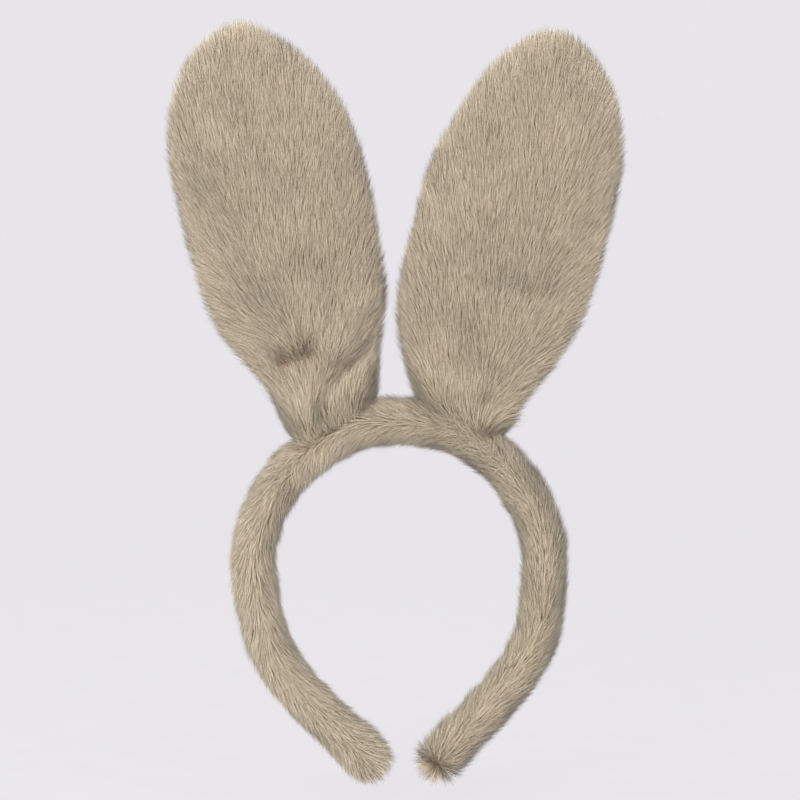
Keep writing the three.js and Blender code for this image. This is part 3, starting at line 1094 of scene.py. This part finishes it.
def build_band(ear_trees):
    skin_rings = band_rings(TUBE_HALF_DEPTH, TUBE_HALF_WIDTH, BAND_LUMPS)
    foam = band_rings(TUBE_HALF_DEPTH - FABRIC_THICKNESS, TUBE_HALF_WIDTH - FABRIC_THICKNESS)
    slot = slot_rings(CORE_HALF_DEPTH, CORE_HALF_WIDTH)
    setback = [round((length + FOAM_SETBACK) / RING_STEP) for length in TIP_LENGTHS]
    for part, first, last in zip(BAND_PARTS, BAND_SPLITS, BAND_SPLITS[1:]):
        replaced = [f"{part}_cover"]
        if part.endswith("lower_arm"):
            replaced.append(part.replace("lower_arm", "tip_gather"))
        cover = padded_piece(f"{part}_fabric", skin_rings[first : last + 1], "fur", replaced, 0.8)
        place_band_piece(cover, part)
        inner = slice(max(first, setback[0]), min(last, LAST_RING - setback[1]) + 1)
        shape = {"hole": slot[inner]}
        sleeve = padded_piece(f"{part}_foam_sleeve", foam[inner], "band_foam", [f"{part}_foam"], 0.7, **shape)
        place_band_piece(sleeve, part)
    longer = 1 + 0.12 * (1 - smoothstep(TO_NEAREST_END[:, None], 4 * MM, 26 * MM))
    over_crown = smoothstep(BAND_LINE[:, 2:], -22 * MM, 2 * MM)
    # Painted light: the crown's hair is 7% paler and the right arm's 15% paler, to make up for the shade that
    # falls on them.
    painted_light_tone = 1 + 0.07 * over_crown + 0.15 * (BAND_LINE[:, :1] > 0) * (1 - over_crown)
    right_end = 1 - smoothstep(TO_RIGHT_END[:, None], 3 * MM, 9 * MM)
    # Painted light: the hair at the right arm's tip is up to 20% paler, where it turns away from the lamps.
    painted_light_tone = painted_light_tone + 0.2 * right_end
    height = outward_of_line(skin_rings) / TUBE_HALF_DEPTH
    # Painted light: the hair on the band's inner and outer sides is up to 5% paler.
    hair = {"length": longer, "lift": 1 - 0.5 * right_end, "tone": painted_light_tone + 0.05 * np.abs(height)}
    hair["stray"] = ruffled(skin_rings)
    skin = Skin(skin_rings, band_flow(skin_rings), hair)
    for coat, hairs in grow(skin, ear_trees).items():
        nearest = nearest_ring(hairs["root"])
        for part, first, last in zip(BAND_PARTS, BAND_SPLITS, BAND_SPLITS[1:]):
            mine = (nearest >= first) & ((nearest < last) | (last == LAST_RING))
            piece = pile_piece(f"{part}_{coat}", keep(hairs, mine), coat == "pile")
            place_band_piece(piece, part)


def nearest_ring(points):
    result = np.empty(len(points), int)
    for start in range(0, len(points), 4000):
        block = points[start : start + 4000]
        result[start : start + 4000] = np.argmin(((block[:, None] - BAND_LINE[None]) ** 2).sum(-1), axis=1)
    return result


# ==== The ears' pieces ====


def ear_flow(side, rings):
    """Hair fans out of the root and runs up the ear, leaning out towards its edges."""
    fan = FANS[side]
    size = rings.shape[1]
    k = np.arange(size)
    u = np.where(k <= size // 2, k, size - k) / (size // 2)
    s = 2 * u - 1
    z = rings[..., 2] / MM
    left, right, power = (np.interp(z, FAN_HEIGHTS, fan[key]) for key in ("left", "right", "power"))
    angle = np.where(s < 0, -left, right) * np.abs(s) ** np.where(s < 0, power, 1.15)
    angle = np.radians(angle + fan["middle"])
    flow = np.stack([np.sin(angle), np.zeros_like(angle), np.cos(angle)], axis=-1)
    if side == "left":
        distance, _, heading = distance_to_path(rings.reshape(-1, 3)[:, [0, 2]], GROOVE)
        share = 0.85 * bell(distance, 7 * MM).reshape(*z.shape, 1) * (rings[..., 1:2] < 0)
        uphill = -np.insert(heading, 1, 0, axis=1).reshape(flow.shape)
        flow = flow * (1 - share) + uphill * share
    else:
        distance = np.hypot(rings[..., 0] / MM - CORNER_TUFT[0], z - CORNER_TUFT[1])
        share = 0.85 * bell(distance, 4)[..., None] * (rings[..., 1:2] < 0)
        flow = flow * (1 - share) + share * np.array([0.97, 0, -0.25])
    above_hem = z - band_centre_z(rings[..., 0]) / MM - ROOT_OFFSET / MM
    share = 0.85 * (1 - smoothstep(above_hem, 0, fan["hem_reach"]))
    share = share * (1 - smoothstep(rings[..., 0] / MM, *fan["hem_until"]))
    hem_angle = np.radians(fan["hem"])
    from_band = np.array([math.sin(hem_angle), 0, math.cos(hem_angle)])
    return flow * (1 - share[..., None]) + from_band * share[..., None]


# Where the hair on an ear's front differs: in what, by how much, round which point and within how many mm.
SPOTS = {
    "left": [
        # Painted shade: darker hair in the dimple and on the flap right of the root's fold. The dimple's
        # brown is the hair's colour. At the brown patch the hair is darker and browner.
        ("tone", -0.15, DIMPLE, 4.5),
        ("tone", -0.08, BROWN_PATCH, 4),
        ("tone", -0.05, (-14, 22), 9),
        ("brown", 0.5, DIMPLE, 4),
        ("brown", 0.8, BROWN_PATCH, 4),
        ("length", -0.3, DIMPLE, 5),
        ("length", -0.2, BROWN_PATCH, 5),
        ("lift", 0.5, DIMPLE, 6),
        ("lift", 0.4, BROWN_PATCH, 5),
        ("stray", 0.4, (-46, 36), 9),
    ],
    "right": [
        # Painted shade: darker hair in the dip. Its brown is the hair's colour.
        ("tone", -0.12, RIGHT_DIP, 2.6),
        ("brown", 0.35, RIGHT_DIP, 2.2),
        ("brown", 0.15, CORNER_TUFT, 2),
        ("length", 0.3, CORNER_TUFT, 4),
        ("length", -0.25, RIGHT_DIP, 3.5),
        ("lift", 0.6, RIGHT_DIP, 3.5),
    ],
}


def ear_hair(side, rings):
    """The hair's length, lift, tone (partly painted light and shade), disorder and brown over an ear's
    fabric.
    """
    x, y, z = (rings[..., i] / MM for i in range(3))
    above_hem = z - band_centre_z(rings[..., 0]) / MM - ROOT_OFFSET / MM
    hair = {key: np.full(x.shape, usual) for key, usual in USUAL_HAIR.items()}
    # Painted light: the hair is up to 7% paler low on the ear, where the ears shade each other, and paler
    # along the rim between front and back.
    hair["tone"] = 1.05 - 0.07 * smoothstep(z, 35, 90) + 0.07 * bell(y, 4)
    hair["stray"] = 0.7 * (1 - smoothstep(above_hem, 1, 8))
    if side == "left":
        hair["stray"] = np.where((x > -38) & (y < 0), 0.08, hair["stray"])
    for key, amount, centre, radius in SPOTS[side]:
        hair[key] += amount * bell(np.hypot(x - centre[0], z - centre[1]), radius) * (y < 0)
    return hair


def place_ear_piece(piece):
    blend_about(piece)


def make_ear_fabric(side):
    rings = ear_rings(EARS[side], EDGE_INSET, EAR_SLACK_HALF, EAR_RIM)
    rings = swell(f"{side}_ear_padding", rings)
    return shape_by_hand(side, refine(rings))


def binding_loop(side, rings):
    """Where the thread round an ear's root lies: the fabric's section, square to the ear's axis."""
    ear = EARS[side]
    angle = math.radians(ear["lean"])
    root = np.array([ear["root"][0] * MM, 0, ear["root"][1] * MM])
    height = (rings - root) @ np.array([math.sin(angle), 0, math.cos(angle)])
    loop = []
    for column in range(rings.shape[1]):
        above = int(np.argmax(height[:, column] > BINDING_HEIGHT))
        low, high = height[above - 1, column], height[above, column]
        t = (BINDING_HEIGHT - low) / (high - low)
        loop.append(rings[above - 1, column] * (1 - t) + rings[above, column] * t)
    return resample(np.array([*loop, loop[0]]), 0.8 * MM)[0][:-1]


def wind_thread(side, rings):
    """A turn of thread on the backing, under the pile, for the CAD ring."""
    loop = binding_loop(side, rings)
    tangent = unit(np.roll(loop, -1, 0) - np.roll(loop, 1, 0))
    outward = unit(np.cross(tangent, np.cross(loop - loop.mean(0), tangent)))
    upward = np.cross(tangent, outward)
    turn = np.linspace(0, 2 * math.pi, THREAD_SIDES, endpoint=False)
    cosine, sine = np.cos(turn)[:, None], np.sin(turn)[:, None]
    tube = loop[:, None] + THREAD_RADIUS * (cosine * outward[:, None] + sine * upward[:, None])
    ids = np.arange(tube.shape[0] * tube.shape[1]).reshape(tube.shape[:2])
    faces = ring_faces(np.vstack([ids, ids[:1]]))
    piece = make_object(f"{side}_ear_binding", tube.reshape(-1, 3), faces)
    piece.data.materials.append(MATERIALS["thread"])
    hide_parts(f"{side}_ear_binding_thread")
    place_ear_piece(piece)


def filling_rings(side):
    """Lumpy rings well inside an ear."""
    rings = ear_rings(EARS[side], FILLING_INSET, FILLING_HALF, EAR_RIM)
    flat = rings.reshape(-1, 3)
    flat[:, 1] *= 1 + 0.12 * waves(flat, 12 * MM, 8)
    return rings


def build_ear(side, rings, band_tree):
    """One ear's fabric and filling, each in a lower and an upper piece, its binding thread and its pile."""
    split = int(np.argmin(np.abs(rings[:, :, 2].mean(1) - SPLIT_HEIGHT)))
    filling = filling_rings(side)
    heights = filling[:, :, 2].mean(1)
    low, high = (int(np.argmin(np.abs(heights - height))) for height in (FILLING_FROM, SPLIT_HEIGHT))
    lower = ("lower", rings[: split + 1], filling[low : high + 1])
    upper = ("upper", rings[split:], filling[high:])
    wind_thread(side, rings)
    for level, cover_rings, wad_rings in (lower, upper):
        shape = {"flat_top": level == "upper", "flat_section": True}
        zones = ("root", "lower") if level == "lower" else ("upper",)
        replaced = [f"{side}_ear_{zone}_{face}" for zone in zones for face in ("front", "back")]
        cover = padded_piece(f"{side}_ear_{level}_fabric", cover_rings, "fur", replaced, 0.35, **shape)
        place_ear_piece(cover)
        replaced = [f"{side}_ear_{level}_stuffing"]
        wad = padded_piece(f"{side}_ear_{level}_filling", wad_rings, "ear_stuffing", replaced, 0.35, **shape)
        place_ear_piece(wad)
    skin = Skin(rings, ear_flow(side, rings), ear_hair(side, rings), flat_top=True)
    for coat, hairs in grow(skin, [band_tree]).items():
        x, y, z = hairs["root"].T
        root_x, root_z = (value * MM for value in EARS[side]["root"])
        right_of_axis = x > root_x + (z - root_z) * math.tan(math.radians(EARS[side]["lean"]))
        for level, face, half in product(("lower", "upper"), ("front", "back"), ("left", "right")):
            mine = (z > SPLIT_HEIGHT) == (level == "upper")
            mine &= (y > 0) == (face == "back")
            mine &= right_of_axis == (half == "right")
            piece = pile_piece(f"{side}_ear_{level}_{face}_{half}_{coat}", keep(hairs, mine), coat == "pile")
            place_ear_piece(piece)


# ==== The frame's own pieces that stay ====


def dress_frame():
    """The cores, wires and threads keep their CAD shape and get their finish."""
    finishes = {"_core": "band_core", "_wire": "rim_wire", "_thread": "thread"}
    for name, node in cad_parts.items():
        for ending, finish in finishes.items():
            if ending in name:
                node.data.materials.clear()
                node.data.materials.append(MATERIALS[finish])


# ==== Run ====

set_stage()
ear_fabric = {side: make_ear_fabric(side) for side in EARS}
build_band([solid_tree(rings, flat_top=True, flat_section=True) for rings in ear_fabric.values()])
band_tree = solid_tree(band_rings(TUBE_HALF_DEPTH, TUBE_HALF_WIDTH, BAND_LUMPS))
for side, rings in ear_fabric.items():
    build_ear(side, rings, band_tree)
dress_frame()
